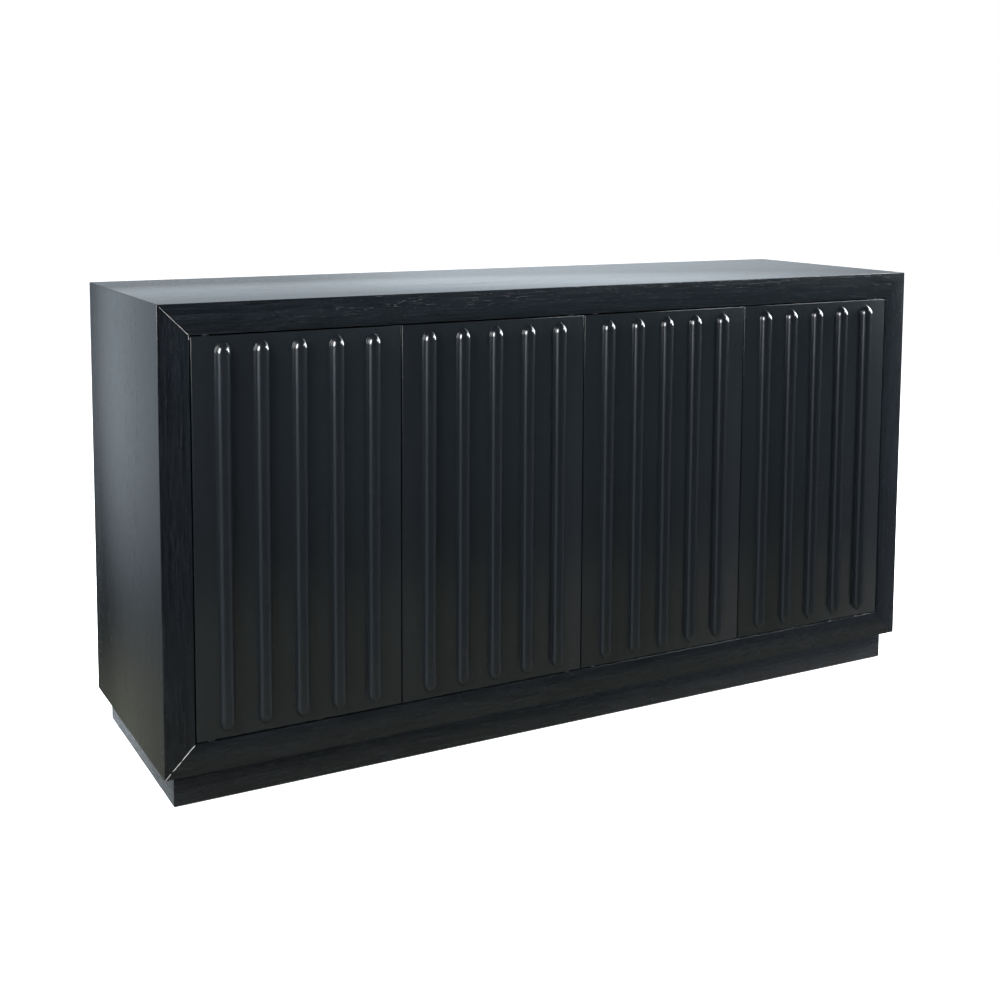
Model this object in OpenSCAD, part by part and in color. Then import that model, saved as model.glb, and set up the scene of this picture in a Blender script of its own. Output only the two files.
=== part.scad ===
// A low four-door sideboard: a mitred case on a recessed plinth, closed by four inset doors that
// carry raised half-round ribs. The front faces -Y, the floor is Z = 0 and X = 0 is the middle.
// Doors 1 and 3 turn on their left edges, doors 2 and 4 on their right edges, counted from -X.

/* [Case] */
// Width of the case
case_w = 1600; // [1540:10:1660]
// Height of the case without its plinth
case_h = 785; // [740:5:830]
// Depth of the case
case_d = 472; // [440:2:500]
// Thickness of the top, bottom and side panels
panel_t = 52; // [46:1:58]

/* [Plinth] */
// Height of the plinth rails
plinth_h = 57; // [45:1:80]
// Set-back of the plinth on all four sides
plinth_inset = 20; // [10:1:40]
// Thickness of the plinth rails and the bearer
plinth_t = 18; // [16:1:22]

/* [Doors] */
// Thickness of a door without its ribs
door_t = 20; // [18:1:22]
// Gap round each door
door_gap = 2.5; // [2.3:0.1:3]

/* [Ribs] */
// Radius of a half-round rib, which is also its height above the door
rib_r = 13.5; // [10:0.5:14]
// Spacing of the ribs across a door
rib_pitch = 66.6; // [55:0.1:70]
// Length of the pointed nose at each end of a rib
rib_nose = 17; // [15:1:24]
// Distance from a nose's tip to the door's top or bottom edge
rib_margin = 10.5; // [6:0.5:20]

/* [Inside] */
// Thickness of the centre partition and the shelves
board_t = 18; // [18:1:22]
// Thickness of the back panel
back_t = 9; // [6:1:12]
// Set-back of the shelves behind the case's front edge
shelf_setback = 60; // [50:1:90]

/* [Hardware] */
// Distance of a door's pivot from its hinge-side edge
pivot_in = 26; // [24:1:28]
// Radial running clearance of a pivot pin in its bush
pivot_clear = 0.05; // [0.02:0.01:0.1]
// Travel of a latch's plunger
latch_travel = 3; // [2:0.5:4]

/* [Hidden] */
$fn = 64;
DOORS = 4;
RIBS = 5;
door_numbers = [1:DOORS];
rib_numbers = [1:RIBS];

// Main planes
glide_h = 2;
case_z0 = glide_h + plinth_h;
case_z1 = case_z0 + case_h;
front_y = rib_r - (case_d + rib_r) / 2;
back_y = front_y + case_d;
open_x = case_w / 2 - panel_t;
open_z0 = case_z0 + panel_t;
open_z1 = case_z1 - panel_t;

// Doors and ribs
door_w = (2 * open_x - (DOORS + 1) * door_gap) / DOORS;
door_z0 = open_z0 + door_gap;
door_h = open_z1 - open_z0 - 2 * door_gap;
door_back_y = front_y + door_t;
rib_l = door_h - 2 * rib_margin;
nose_arc_r = (rib_r * rib_r + rib_nose * rib_nose) / (2 * rib_r);

// Pivots: pins fixed in the doors, turning in flanged bushes let into the case
pin_r = 4;
pin_in_door = 25;
pin_in_bush = 11;
pin_y = front_y + 9;
collar_r = 6.5;
collar_gap = 0.3;
bush_r = 6;
bush_l = 12;
flange_r = 7.5;
flange_t = 1;
seat_clear = 0.02;
floor_clear = 0.2;

// Back panel in its rebate, and the screws that hold it
rebate_w = 10;
rebate_d = back_t + 1;
back_edge_gap = 0.5;
back_y0 = back_y - rebate_d;
screw_r = 1.75;
screw_l = 25;
screw_head_r = 3.6;
screw_head_h = 2;

// Splines across the four mitres
spline_w = 22;
spline_t = 6;
spline_stop = 40;
groove_clear = 0.1;

// Partition, shelves and their pins
partition_y = front_y + 40;
shelf_gap = 1.5;
shelf_z = (open_z0 + open_z1 - board_t) / 2;
shelf_pin_r = 2.5;
shelf_pin_l = 8;
shelf_collar_r = 4.5;
shelf_collar_t = 1;
shelf_pin_ys = [front_y + shelf_setback + 40, back_y0 - 60];

// Plinth corner blocks and glides
plinth_x = case_w / 2 - plinth_inset;
plinth_y0 = front_y + plinth_inset;
plinth_y1 = back_y - plinth_inset;
block_w = 36;
glide_r = 9;
nail_r = 2;
nail_l = 12;

// Touch latches: a strike disc on the door, a sprung plunger in a housing under the top panel
latch_in = 30;
latch_z = open_z1 - 11;
strike_r = 7;
strike_t = 1.5;
strike_stem_r = 3;
strike_stem_l = 8;
tip_gap = 0.3;
tip_r = 5.5;
tip_t = 2.5;
tip_y = door_back_y + strike_t + tip_gap;
stem_r = 4;
latch_y = tip_y + tip_t + latch_travel + 0.7;
latch_w = 18;
latch_h = 20;
neck_l = 10;
chamber_r = 5.4;
chamber_l = 38;
latch_l = neck_l + chamber_l + 8;
retainer_r = 5;
retainer_t = 2;
retainer_y = latch_y + neck_l + 0.1;
ear_w = 42;
ear_l = 20;
ear_t = 4;
ear_screw_x = 15;

// Latch spring
coil_r = 3.9;
wire_r = 0.45;
coil_turns = 7;
coil_steps = 12;
wire_sides = 6;
coil_y0 = retainer_y + retainer_t + wire_r + 0.1;
coil_y1 = latch_y + neck_l + chamber_l - wire_r - 0.1;

black_stain = [0.10, 0.11, 0.12];
door_black = [0.09, 0.10, 0.11];
inside_black = [0.07, 0.07, 0.08];
steel = [0.62, 0.63, 0.65];
nylon = [0.16, 0.16, 0.17];

// ---- Places that repeat ----

function hinged_left(n) = n % 2 == 1;
function door_x(n) = -open_x + door_gap + (n - 1) * (door_w + door_gap);
function from_hinge_side(n, d) = hinged_left(n) ? door_x(n) + d : door_x(n) + door_w - d;
function pivot_x(n) = from_hinge_side(n, pivot_in);
function latch_x(n) = from_hinge_side(n, door_w - latch_in);
function rib_x(n, k) = door_x(n) + door_w / 2 + (k - (RIBS + 1) / 2) * rib_pitch;

// Stands its children at one end of every door's pivot, pointing out of the door's opening
module at_pivots() {
    for (n = door_numbers) {
        translate([pivot_x(n), pin_y, open_z0]) children();
        translate([pivot_x(n), pin_y, open_z1]) mirror([0, 0, 1]) children();
    }
}

module at_latches() {
    for (n = door_numbers) translate([latch_x(n), 0, 0]) children();
}

// Turns +Z to point along +Y
module along_y() {
    rotate([-90, 0, 0]) children();
}

// A round rod along +Y from y0, on the latch's axis
module latch_rod(y0, length, radius) {
    translate([0, y0, latch_z]) along_y() cylinder(r = radius, h = length);
}

// ---- Fasteners ----

// A countersunk screw whose head is flush with Z = 0 and whose shank points along +Z
module screw(grow) {
    cylinder(r1 = screw_head_r + grow, r2 = screw_r + grow, h = screw_head_h);
    cylinder(r = screw_r + grow, h = screw_l + grow);
}

module place_back_screws() {
    for (x = [-600, -300, 0, 300, 600])
        for (z = [open_z0 - rebate_w / 2, open_z1 + rebate_w / 2])
            translate([x, back_y0 + back_t, z]) rotate([90, 0, 0]) children();
    for (x = [-open_x - rebate_w / 2, 0, open_x + rebate_w / 2])
        for (z = [open_z0 + 200, open_z1 - 200])
            translate([x, back_y0 + back_t, z]) rotate([90, 0, 0]) children();
}

module place_latch_screws() {
    at_latches()
        for (side = [-1, 1])
            translate([side * ear_screw_x, latch_y + ear_l / 2, open_z1 - ear_t]) children();
}

module wood_screws() {
    color(steel) {
        place_back_screws() screw(0);
        place_latch_screws() screw(0);
    }
}

module screw_holes() {
    place_back_screws() screw(seat_clear);
    place_latch_screws() screw(seat_clear);
}

// ---- Case ----

// A board mitred at both ends, outer face on Z = 0, running along X and as deep as the case
module mitred_board(length) {
    translate([0, back_y, 0])
        rotate([90, 0, 0])
            linear_extrude(case_d)
                polygon([[-length / 2, 0], [length / 2, 0],
                         [length / 2 - panel_t, panel_t], [panel_t - length / 2, panel_t]]);
}

module splines(grow) {
    for (sx = [-1, 1], sz = [-1, 1])
        translate([sx * (case_w - panel_t) / 2, (front_y + back_y) / 2,
                   (case_z0 + case_z1) / 2 + sz * (case_h - panel_t) / 2])
            rotate([0, 45 * sx * sz, 0])
                cube([spline_w, case_d - 2 * spline_stop, spline_t] + 2 * grow * [1, 1, 1],
                     center = true);
}

module mitre_splines() {
    color("tan") splines(0);
}

module back_rebate() {
    translate([-open_x - rebate_w, back_y0, open_z0 - rebate_w])
        cube([2 * (open_x + rebate_w), rebate_d + 1, open_z1 - open_z0 + 2 * rebate_w]);
}

module bush_seats() {
    at_pivots()
        translate([0, 0, -bush_l - floor_clear])
            cylinder(r = bush_r + seat_clear, h = bush_l + floor_clear + 1);
}

module case_cuts() {
    splines(groove_clear);
    back_rebate();
    screw_holes();
}

module top_panel() {
    color(black_stain)
        difference() {
            translate([0, 0, case_z1]) mirror([0, 0, 1]) mitred_board(case_w);
            case_cuts();
            bush_seats();
        }
}

module bottom_panel() {
    color(black_stain)
        difference() {
            translate([0, 0, case_z0]) mitred_board(case_w);
            case_cuts();
            bush_seats();
        }
}

module side_panel() {
    difference() {
        translate([-case_w / 2, 0, (case_z0 + case_z1) / 2])
            rotate([0, 90, 0])
                mitred_board(case_h);
        case_cuts();
        shelf_pin_set(seat_clear);
    }
}

module left_side_panel() {
    color(black_stain) side_panel();
}

module right_side_panel() {
    color(black_stain) mirror([1, 0, 0]) side_panel();
}

module back_panel() {
    edge_x = open_x + rebate_w - back_edge_gap;
    edge_z = rebate_w - back_edge_gap;
    color(inside_black)
        difference() {
            translate([-edge_x, back_y0, open_z0 - edge_z])
                cube([2 * edge_x, back_t, open_z1 - open_z0 + 2 * edge_z]);
            screw_holes();
        }
}

// ---- Inside ----

module centre_partition() {
    color(inside_black)
        difference() {
            translate([-board_t / 2, partition_y, open_z0])
                cube([board_t, back_y0 - partition_y, open_z1 - open_z0]);
            screw_holes();
            shelf_pin_set(seat_clear);
            mirror([1, 0, 0]) shelf_pin_set(seat_clear);
        }
}

// A pin that enters the wall at X = 0 towards -X and holds a shelf on its +X end
module shelf_pin(grow) {
    translate([-shelf_pin_l - grow, 0, 0])
        rotate([0, 90, 0])
            cylinder(r = shelf_pin_r + grow, h = 2 * shelf_pin_l + grow);
    rotate([0, 90, 0]) cylinder(r = shelf_collar_r, h = shelf_collar_t);
}

// The four pins of the left bay
module shelf_pin_set(grow) {
    for (y = shelf_pin_ys) {
        translate([-open_x, y, shelf_z - shelf_pin_r]) shelf_pin(grow);
        translate([-board_t / 2, y, shelf_z - shelf_pin_r]) mirror([1, 0, 0]) shelf_pin(grow);
    }
}

module shelf_pins() {
    color(steel) {
        shelf_pin_set(0);
        mirror([1, 0, 0]) shelf_pin_set(0);
    }
}

module left_shelf() {
    shelf_y = front_y + shelf_setback;
    color(inside_black)
        translate([-open_x + shelf_gap, shelf_y, shelf_z])
            cube([open_x - board_t / 2 - 2 * shelf_gap, back_y0 - shelf_gap - shelf_y, board_t]);
}

module right_shelf() {
    mirror([1, 0, 0]) left_shelf();
}

// ---- Plinth ----

module plinth_rail(outline) {
    color(black_stain)
        translate([0, 0, glide_h])
            linear_extrude(plinth_h)
                polygon(outline);
}

module plinth_front_rail() {
    plinth_rail([[-plinth_x, plinth_y0], [plinth_x, plinth_y0],
                 [plinth_x - plinth_t, plinth_y0 + plinth_t],
                 [plinth_t - plinth_x, plinth_y0 + plinth_t]]);
}

module plinth_back_rail() {
    plinth_rail([[plinth_x, plinth_y1], [-plinth_x, plinth_y1],
                 [plinth_t - plinth_x, plinth_y1 - plinth_t],
                 [plinth_x - plinth_t, plinth_y1 - plinth_t]]);
}

module plinth_left_rail() {
    plinth_rail([[-plinth_x, plinth_y1], [-plinth_x, plinth_y0],
                 [plinth_t - plinth_x, plinth_y0 + plinth_t],
                 [plinth_t - plinth_x, plinth_y1 - plinth_t]]);
}

module plinth_right_rail() {
    mirror([1, 0, 0]) plinth_left_rail();
}

module plinth_bearer() {
    bearer_y = plinth_y0 + plinth_t;
    color("tan")
        difference() {
            translate([-plinth_t / 2, bearer_y, glide_h])
                cube([plinth_t, plinth_y1 - plinth_t - bearer_y, plinth_h]);
            place_glides() glide_nail(seat_clear);
        }
}

module plinth_corner_blocks() {
    color("tan")
        difference() {
            for (sx = [-1, 1])
                for (y = [plinth_y0 + plinth_t, plinth_y1 - plinth_t - block_w])
                    translate([sx * (plinth_x - plinth_t - block_w / 2) - block_w / 2, y, glide_h])
                        cube([block_w, block_w, plinth_h]);
            place_glides() glide_nail(seat_clear);
        }
}

module place_glides() {
    glide_in = plinth_t + block_w / 2;
    for (x = [glide_in - plinth_x, 0, plinth_x - glide_in])
        for (y = [plinth_y0 + glide_in, plinth_y1 - glide_in])
            translate([x, y, 0]) children();
}

module glide_nail(grow) {
    translate([0, 0, glide_h / 2]) cylinder(r = nail_r + grow, h = nail_l + grow);
}

module floor_glides() {
    color(nylon)
        place_glides() {
            cylinder(r = glide_r, h = glide_h);
            glide_nail(0);
        }
}

// ---- Doors ----

module door(n) {
    color(door_black)
        difference() {
            translate([door_x(n), front_y, door_z0]) cube([door_w, door_t, door_h]);
            at_pivots()
                translate([0, 0, door_gap - 1])
                    cylinder(r = pin_r + seat_clear, h = pin_in_door + floor_clear + 1);
            translate([latch_x(n), 0, 0])
                latch_rod(door_back_y - strike_stem_l - floor_clear,
                          strike_stem_l + floor_clear + 1, strike_stem_r + seat_clear);
        }
}

// Half of a rib's outline, from its axis outwards, standing on its lower tip
module rib_half_outline() {
    translate([0, rib_nose]) square([rib_r, rib_l - 2 * rib_nose]);
    for (nose = [[0, rib_nose], [rib_l - rib_nose, rib_l - rib_nose]])
        intersection() {
            translate([0, nose[0]]) square([rib_r, rib_nose]);
            translate([rib_r - nose_arc_r, nose[1]]) circle(nose_arc_r);
        }
}

module door_rib(n, k) {
    color(door_black)
        translate([rib_x(n, k), front_y, door_z0 + rib_margin])
            rotate([0, 0, 180])
                rotate_extrude(angle = 180)
                    rib_half_outline();
}

// A pin that points down out of a door edge at Z = door_gap, with a thrust collar in the gap
module pivot_pin() {
    translate([0, 0, -pin_in_bush])
        cylinder(r = pin_r, h = pin_in_bush + door_gap + pin_in_door);
    translate([0, 0, flange_t + collar_gap])
        cylinder(r = collar_r, h = door_gap - flange_t - collar_gap);
}

module door_pivots(n) {
    color(steel) {
        translate([pivot_x(n), pin_y, open_z0]) pivot_pin();
        translate([pivot_x(n), pin_y, open_z1]) mirror([0, 0, 1]) pivot_pin();
    }
}

module pivot_bushes() {
    color(nylon)
        at_pivots()
            difference() {
                union() {
                    translate([0, 0, -bush_l]) cylinder(r = bush_r, h = bush_l);
                    cylinder(r = flange_r, h = flange_t);
                }
                translate([0, 0, -bush_l - 1])
                    cylinder(r = pin_r + pivot_clear, h = bush_l + flange_t + 2);
            }
}

// ---- Touch latches ----

module latch_housings() {
    color(nylon)
        difference() {
            at_latches() {
                translate([-latch_w / 2, latch_y, open_z1 - latch_h])
                    cube([latch_w, latch_l, latch_h]);
                translate([-ear_w / 2, latch_y, open_z1 - ear_t]) cube([ear_w, ear_l, ear_t]);
            }
            at_latches() {
                latch_rod(latch_y - 1, neck_l + 2, stem_r + pivot_clear);
                latch_rod(latch_y + neck_l, chamber_l, chamber_r);
            }
            screw_holes();
        }
}

module latch_plunger(n) {
    color(steel)
        translate([latch_x(n), 0, 0]) {
            latch_rod(tip_y, tip_t, tip_r);
            latch_rod(tip_y, retainer_y + retainer_t - tip_y, stem_r);
            latch_rod(retainer_y, retainer_t, retainer_r);
        }
}

module door_strike(n) {
    color(steel)
        translate([latch_x(n), 0, 0]) {
            latch_rod(door_back_y, strike_t, strike_r);
            latch_rod(door_back_y - strike_stem_l, strike_stem_l + strike_t, strike_stem_r);
        }
}

// Point s of the wire's ring number k, on a coil round the Y axis
function wire_point(k, s) =
    let (turn = 360 * k / coil_steps,
         round = 360 * s / wire_sides,
         out = coil_r + wire_r * cos(round))
    [out * cos(turn),
     coil_y0 + (coil_y1 - coil_y0) * k / (coil_turns * coil_steps) + wire_r * sin(round),
     out * sin(turn)];

module latch_spring(n) {
    rings = coil_turns * coil_steps;
    points = [for (k = [0:rings], s = [0:wire_sides - 1]) wire_point(k, s)];
    sides = [for (k = [0:rings - 1], s = [0:wire_sides - 1])
        let (a = k * wire_sides + s, b = k * wire_sides + (s + 1) % wire_sides)
        each [[a, b, b + wire_sides], [a, b + wire_sides, a + wire_sides]]];
    first_cap = [[for (s = [0:wire_sides - 1]) wire_sides - 1 - s]];
    last_cap = [[for (s = [0:wire_sides - 1]) rings * wire_sides + s]];
    color(steel)
        translate([latch_x(n), 0, latch_z])
            polyhedron(points, concat(sides, first_cap, last_cap), convexity = 10);
}

// ---- Nodes ----

top_panel();
bottom_panel();
left_side_panel();
right_side_panel();
back_panel();
centre_partition();
left_shelf();
right_shelf();
plinth_front_rail();
plinth_back_rail();
plinth_left_rail();
plinth_right_rail();
plinth_bearer();
plinth_corner_blocks();
floor_glides();
mitre_splines();
wood_screws();
shelf_pins();
pivot_bushes();
latch_housings();
for (n = door_numbers) {
    door(n);
    door_pivots(n);
    door_strike(n);
    latch_plunger(n);
    latch_spring(n);
    for (k = rib_numbers)
        door_rib(n, k);
}
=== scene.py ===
"""The looks of a low four-door sideboard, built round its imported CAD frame.

The front faces -Y, the floor is Z = 0 and X = 0 is the middle. Every size is in metres.
"""
import math
import bmesh
import bpy
from mathutils import Matrix, Vector


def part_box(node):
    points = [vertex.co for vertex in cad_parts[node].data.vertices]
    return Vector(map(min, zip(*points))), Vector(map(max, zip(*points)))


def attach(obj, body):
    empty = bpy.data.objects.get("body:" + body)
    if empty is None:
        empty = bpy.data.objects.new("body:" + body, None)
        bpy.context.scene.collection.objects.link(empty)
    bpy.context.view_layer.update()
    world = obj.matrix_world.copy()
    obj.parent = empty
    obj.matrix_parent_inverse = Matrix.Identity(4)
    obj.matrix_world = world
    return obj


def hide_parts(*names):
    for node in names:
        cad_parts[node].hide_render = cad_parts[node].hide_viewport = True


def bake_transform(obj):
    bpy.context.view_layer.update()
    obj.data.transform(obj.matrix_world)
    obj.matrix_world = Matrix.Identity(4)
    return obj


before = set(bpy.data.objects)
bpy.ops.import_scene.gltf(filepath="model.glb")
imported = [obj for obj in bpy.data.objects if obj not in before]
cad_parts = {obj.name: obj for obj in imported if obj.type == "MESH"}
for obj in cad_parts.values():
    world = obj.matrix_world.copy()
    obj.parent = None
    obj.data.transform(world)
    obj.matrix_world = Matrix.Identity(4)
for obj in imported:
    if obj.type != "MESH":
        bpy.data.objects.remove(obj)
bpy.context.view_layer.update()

MM = 0.001
DOORS = 4
RIBS = 5

# Camera, where the photographer stood. Angles are in degrees.
CAMERA_PLACE = (-1.388, -2.443, 1.069)
CAMERA_AZIMUTH = -28.63
CAMERA_ELEVATION = 5.51
CAMERA_ROLL = 0.31
CAMERA_LENS_MM = 50.82
CAMERA_SENSOR_MM = 36
CAMERA_SHIFT_Y = -0.20

# Eased edges and joints
ARRIS = 0.9 * MM
ARRIS_STEPS = 3
MITRE_GAP = 0.3 * MM
REBATE_W = 10 * MM
EASED_ABOVE = math.radians(30)
SHADED_SHARP_ABOVE = math.radians(32)
CAD_EASED_ABOVE = math.radians(50)
CAD_EASE_STEPS = 2

# Raw wood in the opened left mitres: (top or bottom, start and end as shares of the mitre, width)
RAW_EDGE_PROUD = 0.05 * MM
RAW_EDGE_DEPTH = 0.4 * MM
RAW_EDGES = ((1, 0.10, 0.36, 0.3 * MM), (1, 0.36, 1.00, 0.4 * MM),
             (-1, 0.02, 0.20, 0.8 * MM), (-1, 0.27, 0.53, 0.8 * MM), (-1, 0.57, 0.98, 1.0 * MM))
# Chips on the inner edge of the left stile: (start, end) below the top of the opening
RAW_CHIPS = ((1.5 * MM, 3.0 * MM), (4.5 * MM, 6.5 * MM))
RAW_CHIP_W = 0.8 * MM
RAW_CHIP_DEPTH = 0.9 * MM
RAW_CHIP_INSET = 0.7 * MM

# Countersunk cross-head screws
SCREW_HEAD_R = 3.6 * MM
SCREW_HEAD_H = 2 * MM
SCREW_RIM_EASE = 0.15 * MM
SCREW_RIM_H = 0.12 * MM
SCREW_R = 1.75 * MM
SCREW_L = 25 * MM
SCREW_TIP_L = 4 * MM
SCREW_TIP_R = 0.2 * MM
SCREW_STEPS = 32
RECESS_ARM = 1.9 * MM
RECESS_HALF_W = 0.45 * MM
RECESS_DEPTH = 1.2 * MM
RECESS_TAPER = 0.6

# Where the screws sit: along the back's long edges, from its corners, and in the latch housings' ears.
# Their turns are in degrees.
BACK_SCREW_XS = (-0.6, -0.3, 0, 0.3, 0.6)
BACK_SCREW_FROM_CORNER = 0.2
BACK_SCREW_TURN = 37
EAR_L = 20 * MM
EAR_T = 4 * MM
EAR_SCREW_X = 15 * MM
EAR_SCREW_TURN = 50
EAR_SCREW_TWIST = 20

# Latch springs: closed at both ends, open in the middle
WIRE_R = 0.45 * MM
COIL_TURNS = 9
COIL_STEPS = 20
WIRE_SIDES = 8
COIL_END_CLOSING = 0.8

# Ribs
RIB_SECTION_STEPS = 28
RIB_NOSE = 18.5 * MM
RIB_NOSE_POWER = 0.75
RIB_NOSE_STEPS = 18
RIB_FILLET = 0.7 * MM
RIB_FILLET_GROWTH = 1.5
FILLET_STEPS = 4


# ---- Places taken from the frame ----

top_low, top_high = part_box("top_panel")
bottom_low, bottom_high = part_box("bottom_panel")
left_low, left_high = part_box("left_side_panel")
back_low, back_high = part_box("back_panel")
plinth_low, plinth_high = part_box("plinth_front_rail")
plinth_back_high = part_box("plinth_back_rail")[1]

case_half_w = top_high.x
case_half_h = (top_high.z - bottom_low.z) / 2
case_mid_z = (top_high.z + bottom_low.z) / 2
front_y = top_low.y
back_y = top_high.y
panel_t = left_high.x - left_low.x
open_x = case_half_w - panel_t
open_z0 = bottom_high.z
open_z1 = top_low.z
rebate_d = back_y - back_low.y


# ---- Mesh helpers ----

def finish_piece(name, bm, material, body, nodes):
    """Makes a named piece of a bmesh. It rides on a body, if one is given, and stands for CAD nodes."""
    bmesh.ops.recalc_face_normals(bm, faces=bm.faces)
    mesh = bpy.data.meshes.new(name)
    bm.to_mesh(mesh)
    bm.free()
    mesh.materials.append(material)
    mesh.shade_smooth()
    mesh.set_sharp_from_angle(angle=SHADED_SHARP_ABOVE)
    piece = bpy.data.objects.new(name, mesh)
    bpy.context.scene.collection.objects.link(piece)
    if body:
        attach(piece, body)
    if nodes:
        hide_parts(*nodes)
    return piece


def ease_edges(bm, radius, steps):
    """Rounds every outward corner of a closed mesh."""
    bm.normal_update()
    sharp = [e for e in bm.edges if e.calc_face_angle_signed() > EASED_ABOVE]
    bmesh.ops.bevel(bm, geom=sharp, offset=radius, offset_type="OFFSET", segments=steps,
                    profile=0.5, affect="EDGES", clamp_overlap=False)


def eased_box(low, high):
    """A closed box with rounded edges."""
    bm = bmesh.new()
    size = Vector(high) - Vector(low)
    middle = (Vector(high) + Vector(low)) / 2
    place = Matrix.Translation(middle) @ Matrix.Diagonal((*size, 1))
    bmesh.ops.create_cube(bm, size=1, matrix=place)
    bmesh.ops.recalc_face_normals(bm, faces=bm.faces)
    ease_edges(bm, ARRIS, ARRIS_STEPS)
    return bm


def mitred_ring(profile, half_u, half_v, to_world):
    """A closed four-sided frame. Each profile point is (depth in from the outside, place along w)."""
    bm = bmesh.new()
    rings = []
    for side_u, side_v in ((-1, -1), (1, -1), (1, 1), (-1, 1)):
        points = [to_world(side_u * (half_u - t), side_v * (half_v - t), w) for t, w in profile]
        rings.append([bm.verts.new(p) for p in points])
    count = len(profile)
    for corner in range(4):
        here = rings[corner]
        there = rings[(corner + 1) % 4]
        for p in range(count):
            q = (p + 1) % count
            bm.faces.new((here[p], there[p], there[q], here[q]))
    bmesh.ops.recalc_face_normals(bm, faces=bm.faces)
    return bm


def cut_board(ring, outward, half_out, half_along, to_world):
    """One side of a mitred ring, with a hairline left at both mitres."""
    board = ring.copy()
    origin = Vector(to_world(0, 0, 0))
    along = Vector((outward.y, outward.x))
    planes = [(Vector((0, 0)), -outward)]
    for end in (-along, along):
        corner = outward * half_out + end * half_along
        normal = (end - outward).normalized()
        planes.append((corner - normal * (MITRE_GAP / 2), normal))
    for place, normal in planes:
        everything = board.verts[:] + board.edges[:] + board.faces[:]
        plane_normal = Vector(to_world(normal.x, normal.y, 0)) - origin
        bmesh.ops.bisect_plane(board, geom=everything, dist=1e-7, clear_outer=True,
                               plane_co=to_world(place.x, place.y, 0), plane_no=plane_normal)
    bmesh.ops.edgenet_fill(board, edges=[e for e in board.edges if e.is_boundary])
    return board


def add_bar(bm, start, end, width, low_y, high_y):
    """A thin straight bar between two places in the front plane, each (x, z)."""
    along = (Vector(end) - Vector(start)).normalized()
    across = Vector((-along.y, along.x)) * (width / 2)
    outline = (Vector(start) + across, Vector(end) + across,
               Vector(end) - across, Vector(start) - across)
    front = [bm.verts.new((p.x, low_y, p.y)) for p in outline]
    behind = [bm.verts.new((p.x, high_y, p.y)) for p in outline]
    bm.faces.new(front)
    bm.faces.new(reversed(behind))
    for i in range(4):
        j = (i + 1) % 4
        bm.faces.new((front[i], behind[i], behind[j], front[j]))


def add_screw(bm, matrix):
    """A cross-head countersunk screw: head face on Z = 0, shank along +Z."""
    def ring(radius, z):
        turns = [2 * math.pi * step / SCREW_STEPS for step in range(SCREW_STEPS)]
        places = [Vector((radius * math.cos(t), radius * math.sin(t), z)) for t in turns]
        return [bm.verts.new(matrix @ place) for place in places]

    def cross(arm, half_w, z):
        outline = []
        for quarter in range(4):
            turn = Matrix.Rotation(math.pi / 2 * quarter, 4, "Z")
            for x, y in ((arm, -half_w), (arm, half_w), (half_w, half_w)):
                outline.append(bm.verts.new(matrix @ turn @ Vector((x, y, z))))
        return outline

    def bridge(here, there):
        for i in range(len(here)):
            j = (i + 1) % len(here)
            bm.faces.new((here[i], here[j], there[j], there[i]))

    rings = [ring(SCREW_HEAD_R - SCREW_RIM_EASE, 0), ring(SCREW_HEAD_R, SCREW_RIM_H),
             ring(SCREW_R, SCREW_HEAD_H), ring(SCREW_R, SCREW_L - SCREW_TIP_L),
             ring(SCREW_TIP_R, SCREW_L)]
    for here, there in zip(rings, rings[1:]):
        bridge(here, there)
    bm.faces.new(rings[-1])
    rim = cross(RECESS_ARM, RECESS_HALF_W, 0)
    floor = cross(RECESS_ARM * RECESS_TAPER, RECESS_HALF_W * RECESS_TAPER, RECESS_DEPTH)
    bridge(rim, floor)
    bm.faces.new(floor)
    face_edges = []
    for outline in (rings[0], rim):
        for i in range(len(outline)):
            pair = (outline[i], outline[(i + 1) % len(outline)])
            face_edges.append(bm.edges.get(pair) or bm.edges.new(pair))
    bmesh.ops.triangle_fill(bm, edges=face_edges, use_beauty=True)


# ---- Material helpers ----

def new_tree(name):
    material = bpy.data.materials.new(name)
    material.use_nodes = True
    tree = material.node_tree
    shader = tree.nodes["Principled BSDF"]
    return material, tree, shader


def add(tree, kind, values=None, links=None, **settings):
    """Adds a node: settings are its properties, values its socket constants, links its inputs."""
    made = tree.nodes.new(kind)
    for key, value in settings.items():
        setattr(made, key, value)
    for socket, value in (values or {}).items():
        made.inputs[socket].default_value = value
    for socket, source in (links or {}).items():
        tree.links.new(source, made.inputs[socket])
    return made


def stretched_noise(tree, place, stretch, scale, detail, roughness, distortion=0.0):
    """Noise drawn out by different factors along X, Y and Z."""
    mapped = add(tree, "ShaderNodeMapping", {"Scale": stretch}, {"Vector": place})
    noise = add(tree, "ShaderNodeTexNoise",
                {"Scale": scale, "Detail": detail, "Roughness": roughness, "Distortion": distortion},
                {"Vector": mapped.outputs["Vector"]})
    return noise.outputs["Fac"]


def map_range(tree, source, low, high, to_low=0.0, to_high=1.0):
    """Maps a range of values smoothly to another."""
    made = add(tree, "ShaderNodeMapRange",
               {"From Min": low, "From Max": high, "To Min": to_low, "To Max": to_high},
               {"Value": source}, interpolation_type="SMOOTHSTEP")
    return made.outputs["Result"]


def math_node(tree, operation, a, b):
    made = add(tree, "ShaderNodeMath", operation=operation)
    for socket, value in enumerate((a, b)):
        if isinstance(value, (int, float)):
            made.inputs[socket].default_value = value
        else:
            tree.links.new(value, made.inputs[socket])
    return made.outputs["Value"]


def weighted(tree, a, b, share):
    """A share of one value and the rest of another."""
    return math_node(tree, "ADD", math_node(tree, "MULTIPLY", a, share),
                     math_node(tree, "MULTIPLY", b, 1 - share))


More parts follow.
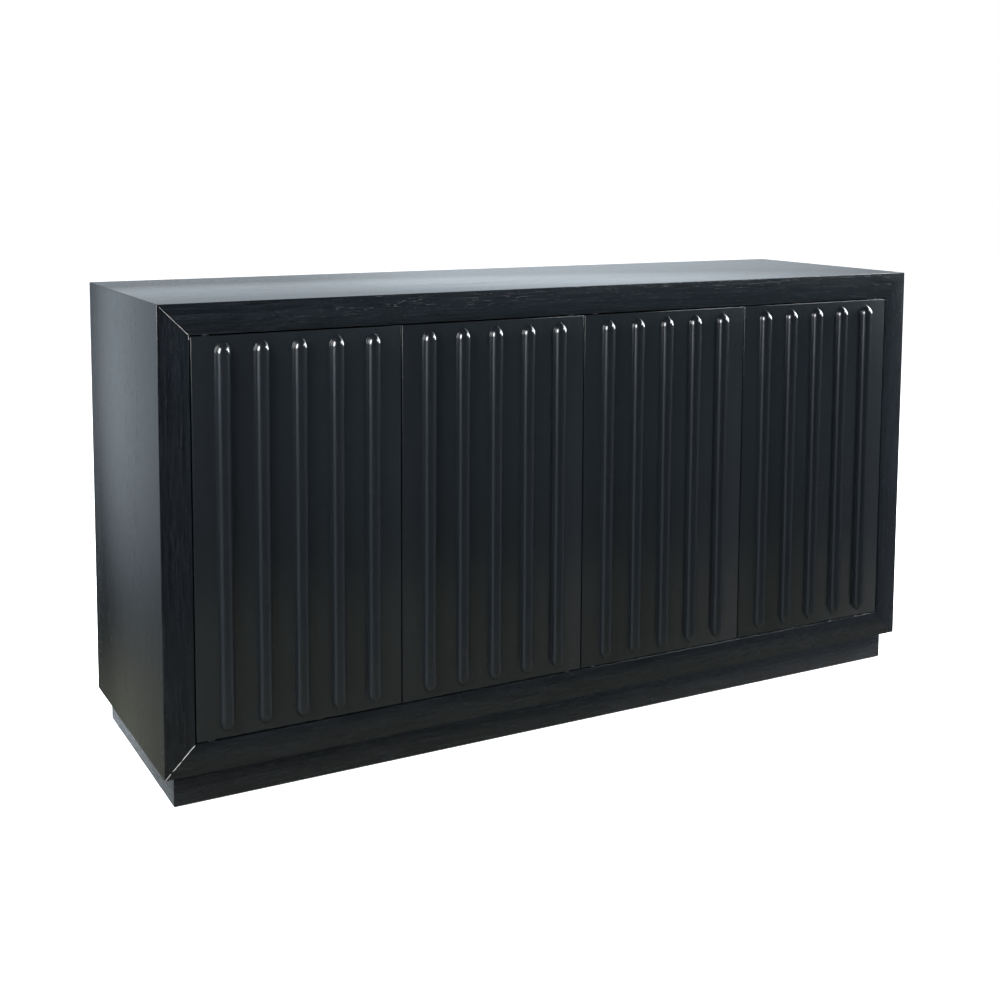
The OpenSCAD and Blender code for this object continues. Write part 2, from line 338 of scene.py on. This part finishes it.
def mix_colour(tree, factor, a, b):
    """Mixes two colours, each a tuple or a socket."""
    made = add(tree, "ShaderNodeMix", data_type="RGBA")
    tree.links.new(factor, made.inputs["Factor"])
    for name, value in (("A", a), ("B", b)):
        socket = next(s for s in made.inputs if s.name == name and s.type == "RGBA")
        if isinstance(value, tuple):
            socket.default_value = (*value, 1)
        else:
            tree.links.new(value, socket)
    return next(s for s in made.outputs if s.type == "RGBA")


def object_place(tree):
    return add(tree, "ShaderNodeTexCoord").outputs["Object"]


# Nearly all values of a noise lie in here
NOISE_SPAN = (0.3, 0.7)


def set_roughness(tree, shader, source, low, high):
    tree.links.new(map_range(tree, source, *NOISE_SPAN, low, high), shader.inputs["Roughness"])


def set_bump(tree, shader, height, depth):
    bump = add(tree, "ShaderNodeBump", {"Strength": 1.0, "Distance": depth}, {"Height": height})
    tree.links.new(bump.outputs["Normal"], shader.inputs["Normal"])


def grain_noise(tree, place, axis, along, *noise):
    """Noise squeezed to a share of its frequency along the grain."""
    stretch = tuple(along if letter == axis else 1 for letter in "XYZ")
    return stretched_noise(tree, place, stretch, *noise)


# Grain: share of the frequency left along it, then the noise's scale, detail, roughness, distortion
FIGURE_GRAIN = (0.06, 26, 3, 0.55, 0.4)
FIBRE_GRAIN = (0.012, 420, 5, 0.60)
HAIR_GRAIN = (0.03, 900, 2, 0.5)
PORE_GRAIN = (0.040, 760, 2, 0.6)
RING_GRAIN = (0.05, 55, 4, 0.55, 0.6)
FUZZ_GRAIN = (0.04, 500, 3, 0.6)
# Where the figure turns from late to early wood, where a pore opens, and where dark turns to light
EARLY_WOOD = (0.42, 0.62)
PORE_EDGE = (0.60, 0.68)
VENEER_TONE = (0.36, 0.64)
TIMBER_TONE = (0.38, 0.62)
# Pores in late wood, as a share of those in early wood
LATE_WOOD_PORES = 0.45
# How much rougher the pores are, in swings
PORE_ROUGHER = 3
# Share of the fibres in the tone (the rest is figure) and in the height (the rest is hairs)
FIBRE_TONE = 0.85
FIBRE_HEIGHT = 0.7
# Share of the rings in bare timber's tone (the rest is fuzz)
RING_TONE = 0.75
BARE_ROUGHNESS = (0.62, 0.78)
BARE_DEPTH = 0.08 * MM
# How far the grain drifts sideways, and how often
DRIFT_SIZE = 0.035
DRIFT_SCALE = 2.2


def stained_wood(name, axis, colours, roughness, swing, pore_depth, fibre_depth, seed):
    """Stained open-grain veneer: fibres and pores run along one axis. Colours: dark, light, pores."""
    dark, light, pore = colours
    material, tree, shader = new_tree(name)
    shifted = add(tree, "ShaderNodeMapping", {"Location": (seed, seed * 0.7, seed * 1.3)},
                  {"Vector": object_place(tree)}).outputs["Vector"]

    drift = add(tree, "ShaderNodeTexNoise", {"Scale": DRIFT_SCALE, "Detail": 2.0},
                {"Vector": shifted})
    drift_centred = add(tree, "ShaderNodeVectorMath", {1: (0.5, 0.5, 0.5)},
                        {0: drift.outputs["Color"]}, operation="SUBTRACT")
    drift_small = add(tree, "ShaderNodeVectorMath", {"Scale": DRIFT_SIZE},
                      {0: drift_centred.outputs["Vector"]}, operation="SCALE")
    drifted = add(tree, "ShaderNodeVectorMath", None,
                  {0: shifted, 1: drift_small.outputs["Vector"]}, operation="ADD")
    place = drifted.outputs["Vector"]

    figure = grain_noise(tree, place, axis, *FIGURE_GRAIN)
    fibres = grain_noise(tree, place, axis, *FIBRE_GRAIN)
    hairs = grain_noise(tree, place, axis, *HAIR_GRAIN)
    pore_noise = grain_noise(tree, place, axis, *PORE_GRAIN)
    early_wood = map_range(tree, figure, *EARLY_WOOD)
    pore_line = map_range(tree, pore_noise, *PORE_EDGE)
    pore_share = math_node(tree, "MULTIPLY", early_wood, 1 - LATE_WOOD_PORES)
    pore_share = math_node(tree, "ADD", pore_share, LATE_WOOD_PORES)
    pores = math_node(tree, "MULTIPLY", pore_line, pore_share)

    tone = weighted(tree, fibres, figure, FIBRE_TONE)
    wood = mix_colour(tree, map_range(tree, tone, *VENEER_TONE), dark, light)
    wood = mix_colour(tree, pores, wood, pore)
    tree.links.new(wood, shader.inputs["Base Color"])

    rough = map_range(tree, tone, *NOISE_SPAN, roughness - swing, roughness + swing)
    rougher = math_node(tree, "MULTIPLY", pores, PORE_ROUGHER * swing)
    rough = math_node(tree, "ADD", rough, rougher)
    tree.links.new(rough, shader.inputs["Roughness"])

    fibre_height = weighted(tree, fibres, hairs, FIBRE_HEIGHT)
    bump = add(tree, "ShaderNodeBump", {"Strength": 1.0, "Distance": fibre_depth},
               {"Height": fibre_height})
    pits = add(tree, "ShaderNodeBump", {"Strength": 1.0, "Distance": pore_depth},
               {"Height": math_node(tree, "SUBTRACT", 1.0, pores),
                "Normal": bump.outputs["Normal"]})
    tree.links.new(pits.outputs["Normal"], shader.inputs["Normal"])
    return material


def bare_timber(name, axis, dark, light):
    """Plain sawn wood for the parts that are never stained."""
    material, tree, shader = new_tree(name)
    place = object_place(tree)
    rings = grain_noise(tree, place, axis, *RING_GRAIN)
    fuzz = grain_noise(tree, place, axis, *FUZZ_GRAIN)
    tone = weighted(tree, rings, fuzz, RING_TONE)
    wood = mix_colour(tree, map_range(tree, tone, *TIMBER_TONE), dark, light)
    tree.links.new(wood, shader.inputs["Base Color"])
    set_roughness(tree, shader, fuzz, *BARE_ROUGHNESS)
    set_bump(tree, shader, fuzz, BARE_DEPTH)
    return material


# Where the clouds turn from dark to light
CLOUD_TONE = (0.35, 0.65)


def clouded(name, dark, light, cloud, grit, roughness, depth, metallic):
    """Colour in soft clouds, with a finer grit. Each noise is (scale, detail, roughness)."""
    material, tree, shader = new_tree(name)
    shader.inputs["Metallic"].default_value = metallic
    place = object_place(tree)
    cloud_noise = stretched_noise(tree, place, (1, 1, 1), *cloud)
    grit_noise = stretched_noise(tree, place, (1, 1, 1), *grit)
    tint = mix_colour(tree, map_range(tree, cloud_noise, *CLOUD_TONE), dark, light)
    tree.links.new(tint, shader.inputs["Base Color"])
    set_roughness(tree, shader, grit_noise, *roughness)
    set_bump(tree, shader, grit_noise, depth)
    return material


def plated_steel(name, dark, light):
    """Steel with a cloudy dark plating."""
    return clouded(name, dark, light, (140, 3, 0.6), (2400, 2, 0.5), (0.34, 0.48), 0.01 * MM, 1.0)


def moulded_nylon(name, dark, light):
    """Moulded nylon with a fine spark-eroded texture."""
    return clouded(name, dark, light, (60, 2, 0.5), (1800, 2, 0.6), (0.42, 0.58), 0.02 * MM, 0.0)


# Colours of the stained finishes: dark, light, pores
STAIN = ((0.0010, 0.0013, 0.0018), (0.0032, 0.0040, 0.0052), (0.0008, 0.0010, 0.0013))
LACQUER = ((0.0029, 0.0035, 0.0041), (0.0035, 0.0042, 0.0049), (0.0025, 0.0030, 0.0035))
INSIDE_BLACK = ((0.0085, 0.0088, 0.0095), (0.0130, 0.0135, 0.0145), (0.006, 0.006, 0.007))
# The other colours: dark, light
PALE_WOOD = ((0.36, 0.23, 0.12), (0.56, 0.41, 0.25))
GREYED_WOOD = ((0.22, 0.215, 0.20), (0.31, 0.30, 0.28))
ZINC = ((0.090, 0.094, 0.105), (0.150, 0.148, 0.140))
BLACK_STEEL = ((0.010, 0.010, 0.011), (0.018, 0.018, 0.019))
DARK_NYLON = ((0.030, 0.031, 0.034), (0.042, 0.043, 0.046))

# Stained finishes: name, grain axis, colours, roughness, its swing, pore depth, fibre depth, seed
STAINED = {
    "case_x": ("case_veneer_x", "X", STAIN, 0.23, 0.04, 0.07 * MM, 0.055 * MM, 0.31),
    "case_z": ("case_veneer_z", "Z", STAIN, 0.21, 0.035, 0.07 * MM, 0.055 * MM, 0.83),
    "plinth_x": ("plinth_veneer_x", "X", STAIN, 0.26, 0.04, 0.06 * MM, 0.05 * MM, 1.37),
    "plinth_y": ("plinth_veneer_y", "Y", STAIN, 0.26, 0.04, 0.06 * MM, 0.05 * MM, 1.71),
    "door": ("door_lacquer", "Z", LACQUER, 0.205, 0.01, 0.004 * MM, 0.004 * MM, 2.23),
    "inside_x": ("inside_black_x", "X", INSIDE_BLACK, 0.52, 0.05, 0.03 * MM, 0.03 * MM, 2.71),
    "inside_z": ("inside_black_z", "Z", INSIDE_BLACK, 0.52, 0.05, 0.03 * MM, 0.03 * MM, 3.19),
}
# The plinth's duller finish shows a cool bloom when it is seen along the surface
PLINTH_BLOOM = {"plinth_x": 0.06, "plinth_y": 0.20}
BLOOM_ROUGHNESS = 0.4
BLOOM_TINT = (0.80, 0.87, 1.0, 1)

materials = {look: stained_wood(*values) for look, values in STAINED.items()}
materials["bare_y"] = bare_timber("bare_wood_y", "Y", *PALE_WOOD)
materials["bare_z"] = bare_timber("bare_wood_z", "Z", *PALE_WOOD)
materials["raw_edge"] = bare_timber("raw_wood_edge", "Y", *GREYED_WOOD)
materials["steel"] = plated_steel("zinc_steel", *ZINC)
materials["black_steel"] = plated_steel("blackened_steel", *BLACK_STEEL)
materials["nylon"] = moulded_nylon("moulded_nylon", *DARK_NYLON)
for look, bloom in PLINTH_BLOOM.items():
    plinth_shader = materials[look].node_tree.nodes["Principled BSDF"]
    plinth_shader.inputs["Sheen Weight"].default_value = bloom
    plinth_shader.inputs["Sheen Roughness"].default_value = BLOOM_ROUGHNESS
    plinth_shader.inputs["Sheen Tint"].default_value = BLOOM_TINT


# ---- Case ----

def case_place(u, v, w):
    """From across, up and through the case to world coordinates."""
    return (u, w, case_mid_z + v)


def make_case():
    profile = [(0, front_y), (0, back_y), (panel_t - REBATE_W, back_y),
               (panel_t - REBATE_W, back_y - rebate_d), (panel_t, back_y - rebate_d),
               (panel_t, front_y)]
    ring = mitred_ring(profile, case_half_w, case_half_h, case_place)
    ease_edges(ring, ARRIS, ARRIS_STEPS)
    boards = (("top_panel", Vector((0, 1)), "case_x"), ("bottom_panel", Vector((0, -1)), "case_x"),
              ("left_side_panel", Vector((-1, 0)), "case_z"),
              ("right_side_panel", Vector((1, 0)), "case_z"))
    for node, outward, look in boards:
        half_out = case_half_h if outward.y else case_half_w
        half_along = case_half_w if outward.y else case_half_h
        board = cut_board(ring, outward, half_out, half_along, case_place)
        finish_piece(f"{node}_veneered", board, materials[look], "case", [node])
    ring.free()


def make_raw_edges():
    """Hairlines of unstained wood where the stained skin has cracked at the left mitres."""
    bm = bmesh.new()
    for up, start, end, width in RAW_EDGES:
        corner = Vector((-case_half_w, case_mid_z + up * case_half_h))
        inward = Vector((panel_t, -up * panel_t))
        add_bar(bm, corner + inward * start, corner + inward * end, width,
                front_y - RAW_EDGE_PROUD, front_y + RAW_EDGE_DEPTH)
    x = -open_x - RAW_CHIP_INSET
    for start, end in RAW_CHIPS:
        add_bar(bm, (x, open_z1 - start), (x, open_z1 - end), RAW_CHIP_W,
                front_y - RAW_EDGE_PROUD, front_y + RAW_CHIP_DEPTH)
    finish_piece("raw_mitre_edges", bm, materials["raw_edge"], "case", [])


def make_screws():
    """The screws that hold the back panel and the latch housings."""
    bm = bmesh.new()
    edge_in = REBATE_W / 2
    places = [(x, z) for x in BACK_SCREW_XS for z in (open_z0 - edge_in, open_z1 + edge_in)]
    places += [(x, z) for x in (-open_x - edge_in, 0, open_x + edge_in)
               for z in (open_z0 + BACK_SCREW_FROM_CORNER, open_z1 - BACK_SCREW_FROM_CORNER)]
    into_back = Matrix.Rotation(math.pi / 2, 4, "X")
    for number, (x, z) in enumerate(places):
        spin = Matrix.Rotation(math.radians(BACK_SCREW_TURN * number), 4, "Z")
        add_screw(bm, Matrix.Translation((x, back_high.y, z)) @ into_back @ spin)
    ear_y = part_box("latch_housings")[0].y + EAR_L / 2
    for number in range(1, DOORS + 1):
        low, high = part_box(f"latch_{number}_plunger")
        for side in (-1, 1):
            x = (low.x + high.x) / 2 + side * EAR_SCREW_X
            turn = math.radians(EAR_SCREW_TURN * number + EAR_SCREW_TWIST * side)
            spin = Matrix.Rotation(turn, 4, "Z")
            add_screw(bm, Matrix.Translation((x, ear_y, open_z1 - EAR_T)) @ spin)
    finish_piece("wood_screws_cross_head", bm, materials["steel"], "case",
                 ["wood_screws"])


def make_spring(number):
    """A coil spring between its housing and its plunger."""
    node = f"latch_{number}_spring"
    low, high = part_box(node)
    middle_x = (low.x + high.x) / 2
    middle_z = (low.z + high.z) / 2
    coil_r = (high.x - low.x) / 2 - WIRE_R
    near_y = low.y + WIRE_R
    far_y = high.y - WIRE_R
    bm = bmesh.new()
    rings = []
    for step in range(COIL_TURNS * COIL_STEPS + 1):
        turn = 2 * math.pi * step / COIL_STEPS
        share = step / (COIL_TURNS * COIL_STEPS)
        share -= COIL_END_CLOSING * math.sin(2 * math.pi * share) / (2 * math.pi)
        y = near_y + (far_y - near_y) * share
        ring = []
        for side in range(WIRE_SIDES):
            round_wire = 2 * math.pi * side / WIRE_SIDES
            out = coil_r + WIRE_R * math.cos(round_wire)
            place = (middle_x + out * math.cos(turn), y + WIRE_R * math.sin(round_wire),
                     middle_z + out * math.sin(turn))
            ring.append(bm.verts.new(place))
        rings.append(ring)
    for here, there in zip(rings, rings[1:]):
        for i in range(WIRE_SIDES):
            j = (i + 1) % WIRE_SIDES
            bm.faces.new((here[i], here[j], there[j], there[i]))
    bm.faces.new(rings[0])
    bm.faces.new(rings[-1])
    spring = finish_piece(f"{node}_coil", bm, materials["steel"], None, [node])
    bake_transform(spring)


def plinth_place(u, v, w):
    """From across, along the depth and up to world coordinates."""
    return (u, (plinth_low.y + plinth_back_high.y) / 2 + v, w)


def make_plinth():
    rail_t = plinth_high.y - plinth_low.y
    profile = [(0, plinth_low.z), (0, plinth_high.z),
               (rail_t, plinth_high.z), (rail_t, plinth_low.z)]
    half_w = plinth_high.x
    half_d = (plinth_back_high.y - plinth_low.y) / 2
    ring = mitred_ring(profile, half_w, half_d, plinth_place)
    ease_edges(ring, ARRIS, ARRIS_STEPS)
    rails = (("plinth_front_rail", Vector((0, -1)), "plinth_x"),
             ("plinth_back_rail", Vector((0, 1)), "plinth_x"),
             ("plinth_left_rail", Vector((-1, 0)), "plinth_y"),
             ("plinth_right_rail", Vector((1, 0)), "plinth_y"))
    for node, outward, look in rails:
        half_out = half_d if outward.y else half_w
        half_along = half_w if outward.y else half_d
        rail = cut_board(ring, outward, half_out, half_along, plinth_place)
        finish_piece(f"{node}_veneered", rail, materials[look], "case", [node])
    ring.free()


# ---- Doors and ribs ----

def nose_outline(half_w, length):
    """(distance from the tip, half-width) along a rib's nose, closer together towards the tip."""
    points = []
    for step in range(RIB_NOSE_STEPS + 1):
        s = length * (1 - math.cos(math.pi / 2 * step / RIB_NOSE_STEPS))
        w = half_w * (1 - (1 - s / length) ** 2) ** RIB_NOSE_POWER
        points.append((s, w))
    return points


def rib_section(half_w, fillet):
    """A half-round with a small fillet at both feet, from the right foot to the left one."""
    right = []
    for step in range(FILLET_STEPS + 1):
        turn = math.pi / 2 * step / FILLET_STEPS
        right.append((half_w + fillet * (1 - math.sin(turn)), fillet * (1 - math.cos(turn))))
    start = math.asin(min(1.0, fillet / half_w))
    dome = []
    for step in range(1, RIB_SECTION_STEPS):
        turn = start + (math.pi - 2 * start) * step / RIB_SECTION_STEPS
        dome.append((half_w * math.cos(turn), half_w * math.sin(turn)))
    left = [(-x, h) for x, h in reversed(right)]
    return right + dome + left


def make_rib(door_number, rib_number):
    node = f"door_{door_number}_rib_{rib_number}"
    low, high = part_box(node)
    middle_x = (low.x + high.x) / 2
    half_w = (high.x - low.x) / 2
    foot_y = high.y
    nose = nose_outline(half_w, RIB_NOSE)[1:]
    stations = [(low.z + s, w) for s, w in nose]
    stations += [(high.z - s, w) for s, w in reversed(nose)]
    bm = bmesh.new()
    rows = []
    for z, w in stations:
        fillet = RIB_FILLET * min(1.0, w / half_w * RIB_FILLET_GROWTH)
        section = rib_section(w, fillet)
        rows.append([bm.verts.new((middle_x + x, foot_y - h, z)) for x, h in section])
    for row, following in zip(rows, rows[1:]):
        for i in range(len(row)):
            j = (i + 1) % len(row)
            bm.faces.new((row[i], row[j], following[j], following[i]))
    for row, tip_z in ((rows[0], low.z), (rows[-1], high.z)):
        tip = bm.verts.new((middle_x, foot_y, tip_z))
        for i in range(len(row)):
            j = (i + 1) % len(row)
            bm.faces.new((row[i], row[j], tip))
    finish_piece(f"{node}_moulding", bm, materials["door"], f"door_{door_number}",
                 [node])


def make_door(number):
    node = f"door_{number}"
    low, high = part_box(node)
    bm = eased_box(low, high)
    finish_piece(f"{node}_leaf", bm, materials["door"], node, [node])
    for rib_number in range(1, RIBS + 1):
        make_rib(number, rib_number)


# ---- Inside ----

def make_inside():
    for node in ("left_shelf", "right_shelf"):
        low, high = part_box(node)
        bm = eased_box(low, high)
        finish_piece(f"{node}_board", bm, materials["inside_x"], "case", [node])
    low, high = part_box("centre_partition")
    bm = eased_box(low, high)
    finish_piece("centre_partition_board", bm, materials["inside_z"], "case",
                 ["centre_partition"])


EASED_NODES = {"back_panel": 0.5 * MM, "plinth_bearer": 0.8 * MM, "plinth_corner_blocks": 0.8 * MM,
               "floor_glides": 0.5 * MM, "latch_housings": 0.5 * MM}


def dress_cad_nodes():
    """CAD nodes whose shape is right keep it and take their material."""
    looks = {"back_panel": "inside_x", "plinth_bearer": "bare_y", "plinth_corner_blocks": "bare_z",
             "floor_glides": "nylon", "mitre_splines": "bare_y",
             "shelf_pins": "steel", "pivot_bushes": "nylon", "latch_housings": "nylon"}
    for number in range(1, DOORS + 1):
        looks[f"door_{number}_pivots"] = "black_steel"
        looks[f"door_{number}_strike"] = "steel"
        looks[f"latch_{number}_plunger"] = "steel"
    for node, look in looks.items():
        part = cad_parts[node]
        part.data.materials.clear()
        part.data.materials.append(materials[look])
        part.data.shade_smooth()
        part.data.set_sharp_from_angle(angle=SHADED_SHARP_ABOVE)
        if node in EASED_NODES:
            bevel = part.modifiers.new("eased", "BEVEL")
            bevel.width = EASED_NODES[node]
            bevel.segments = CAD_EASE_STEPS
            bevel.limit_method = "ANGLE"
            bevel.angle_limit = CAD_EASED_ABOVE
            bevel.harden_normals = False


# ---- Stage ----

def make_camera():
    azimuth = math.radians(CAMERA_AZIMUTH)
    elevation = math.radians(CAMERA_ELEVATION)
    backward = Vector((math.sin(azimuth) * math.cos(elevation),
                       -math.cos(azimuth) * math.cos(elevation), math.sin(elevation)))
    level = (-backward).cross(Vector((0, 0, 1))).normalized()
    upright = level.cross(-backward)
    roll = math.radians(CAMERA_ROLL)
    right = math.cos(roll) * level + math.sin(roll) * upright
    up = math.cos(roll) * upright - math.sin(roll) * level
    data = bpy.data.cameras.new("camera")
    data.lens = CAMERA_LENS_MM
    data.sensor_width = CAMERA_SENSOR_MM
    data.shift_y = CAMERA_SHIFT_Y
    camera = bpy.data.objects.new("camera", data)
    turn = Matrix((right, up, backward)).transposed().to_4x4()
    camera.matrix_world = Matrix.Translation(CAMERA_PLACE) @ turn
    bpy.context.scene.collection.objects.link(camera)
    bpy.context.scene.camera = camera


# The floor glows, so that it stays near white under a dark object
FLOOR_GLOW = 0.95
FLOOR_R = 14
FLOOR_SIDES = 96
FLOOR_DARK = (0.88, 0.88, 0.88)
FLOOR_LIGHT = (0.90, 0.90, 0.90)
FLOOR_ROUGHNESS = 0.9


def make_floor():
    bm = bmesh.new()
    bmesh.ops.create_circle(bm, cap_ends=True, segments=FLOOR_SIDES, radius=FLOOR_R)
    mesh = bpy.data.meshes.new("floor")
    bm.to_mesh(mesh)
    bm.free()
    material, tree, shader = new_tree("pale_floor")
    mottle = stretched_noise(tree, object_place(tree), (1, 1, 1), 3, 3, 0.5)
    tint = mix_colour(tree, mottle, FLOOR_DARK, FLOOR_LIGHT)
    tree.links.new(tint, shader.inputs["Base Color"])
    shader.inputs["Roughness"].default_value = FLOOR_ROUGHNESS
    shader.inputs["Emission Color"].default_value = (1, 1, 1, 1)
    shader.inputs["Emission Strength"].default_value = FLOOR_GLOW
    mesh.materials.append(material)
    floor = bpy.data.objects.new("floor", mesh)
    bpy.context.scene.collection.objects.link(floor)
    floor.visible_glossy = False


# Softboxes: name, place, target, width, height, watts, colour, and whether reflections show them
SOFTBOXES = (
    ("left_softbox", (-2.6, -1.25, 1.80), (0, front_y, 0.9), 0.9, 1.85, 235, (0.96, 0.98, 1.0), True),
    ("left_low_strip", (-3.1, -1.3, 0.62), (0, front_y, 0.5), 1.4, 0.45, 3, (0.6, 0.85, 1.0), True),
    ("right_softbox", (3.3, -0.55, 1.85), (0, front_y, 1.0), 0.8, 2.0, 260, (0.90, 0.97, 1.0), True),
    ("right_high_strip", (2.6, -1.9, 2.6), (0.4, front_y, 0.8), 1.5, 0.45, 100, (0.90, 0.96, 1.0), True),
    ("top_softbox", (0, 0, 3.2), (0, 0, 0), 3.5, 2.5, 200, (0.86, 0.90, 1.0), False),
)


def make_softbox(name, place, target, width, height, power, tint, glossy):
    data = bpy.data.lights.new(name, "AREA")
    data.shape = "RECTANGLE"
    data.size = width
    data.size_y = height
    data.energy = power
    data.color = tint
    light = bpy.data.objects.new(name, data)
    aim = (Vector(target) - Vector(place)).to_track_quat("-Z", "Y")
    light.matrix_world = Matrix.Translation(place) @ aim.to_matrix().to_4x4()
    light.visible_camera = False
    light.visible_glossy = glossy
    bpy.context.scene.collection.objects.link(light)


# Soft cards all round the studio: (direction, outer and inner spread, start and full height, colour,
# strength). Directions are about 1 long, so that a spread is roughly the cosine of the angle from its
# direction. Heights are sines of the elevation.
STUDIO_CARDS = (
    # The bright sweep behind, seen in the top
    ((0.35, 0.85, 0.45), (0.88, 0.98), (0.01, 0.12), (0.82, 0.92, 1.0), 1.17),
    ((0.60, 0.80, 0.10), (0.955, 0.990), (-0.10, 0.05), (0.84, 0.93, 1.0), 0.50),
    # The foot of the sweep, seen in the left side
    ((-0.46, 0.88, -0.07), (0.86, 0.98), (-0.44, -0.12), (0.78, 0.90, 1.0), 0.92),
    # The floor all round, then to the left and to the right
    ((0, 0, -1), (-1.0, -0.99), (-0.30, -0.42), (0.95, 1.0, 0.80), 0.25),
    ((-0.87, -0.43, -0.25), (0.88, 0.99), (-2.0, -1.5), (0.58, 0.78, 1.0), 0.46),
    ((0.87, -0.43, -0.25), (0.88, 0.99), (-2.0, -1.5), (0.83, 0.83, 1.0), 0.20),
    # A pale wall beyond the left softbox
    ((-0.93, 0.22, 0.34), (0.90, 0.97), (0.08, 0.28), (0.90, 0.95, 1.0), 4.0),
    # Dim room in front, brighter to the right
    ((0.30, -0.95, 0), (0.80, 0.98), (-0.5, -0.1), (0.60, 0.80, 1.0), 0.12),
    ((0.72, -0.69, 0), (0.80, 0.98), (-0.5, -0.1), (0.45, 0.82, 1.0), 0.14),
)


def make_card(tree, direction, facing, spread, heights, colour, strength):
    aim = add(tree, "ShaderNodeVectorMath", {1: facing}, {0: direction}, operation="DOT_PRODUCT")
    height = add(tree, "ShaderNodeSeparateXYZ", None, {"Vector": direction}).outputs["Z"]
    glow = math_node(tree, "MULTIPLY", map_range(tree, aim.outputs["Value"], *spread),
                     map_range(tree, height, *heights))
    tinted = add(tree, "ShaderNodeVectorMath", {0: colour}, {"Scale": glow}, operation="SCALE")
    background = add(tree, "ShaderNodeBackground", {"Strength": strength},
                     {"Color": tinted.outputs["Vector"]})
    return background.outputs["Background"]


def make_world():
    """Soft cards for light and gloss, and plain white for what the camera sees."""
    world = bpy.data.worlds.new("studio")
    world.use_nodes = True
    bpy.context.scene.world = world
    tree = world.node_tree
    tree.nodes.remove(tree.nodes["Background"])
    direction = add(tree, "ShaderNodeTexCoord").outputs["Generated"]
    total = None
    for facing, spread, heights, colour, strength in STUDIO_CARDS:
        card = make_card(tree, direction, facing, spread, heights, colour, strength)
        if total is None:
            total = card
        else:
            both = add(tree, "ShaderNodeAddShader")
            tree.links.new(total, both.inputs[0])
            tree.links.new(card, both.inputs[1])
            total = both.outputs["Shader"]
    white = add(tree, "ShaderNodeBackground", {"Color": (1, 1, 1, 1), "Strength": 1.0})
    rays = add(tree, "ShaderNodeLightPath")
    mixed = add(tree, "ShaderNodeMixShader", None, {"Fac": rays.outputs["Is Camera Ray"]})
    tree.links.new(total, mixed.inputs[1])
    tree.links.new(white.outputs["Background"], mixed.inputs[2])
    tree.links.new(mixed.outputs["Shader"], tree.nodes["World Output"].inputs["Surface"])


def make_stage():
    make_floor()
    make_world()
    for softbox in SOFTBOXES:
        make_softbox(*softbox)
    bpy.context.scene.view_settings.view_transform = "Standard"


make_case()
make_raw_edges()
make_screws()
make_plinth()
for door_number in range(1, DOORS + 1):
    make_door(door_number)
for latch_number in range(1, DOORS + 1):
    make_spring(latch_number)
make_inside()
dress_cad_nodes()
make_camera()
make_stage()
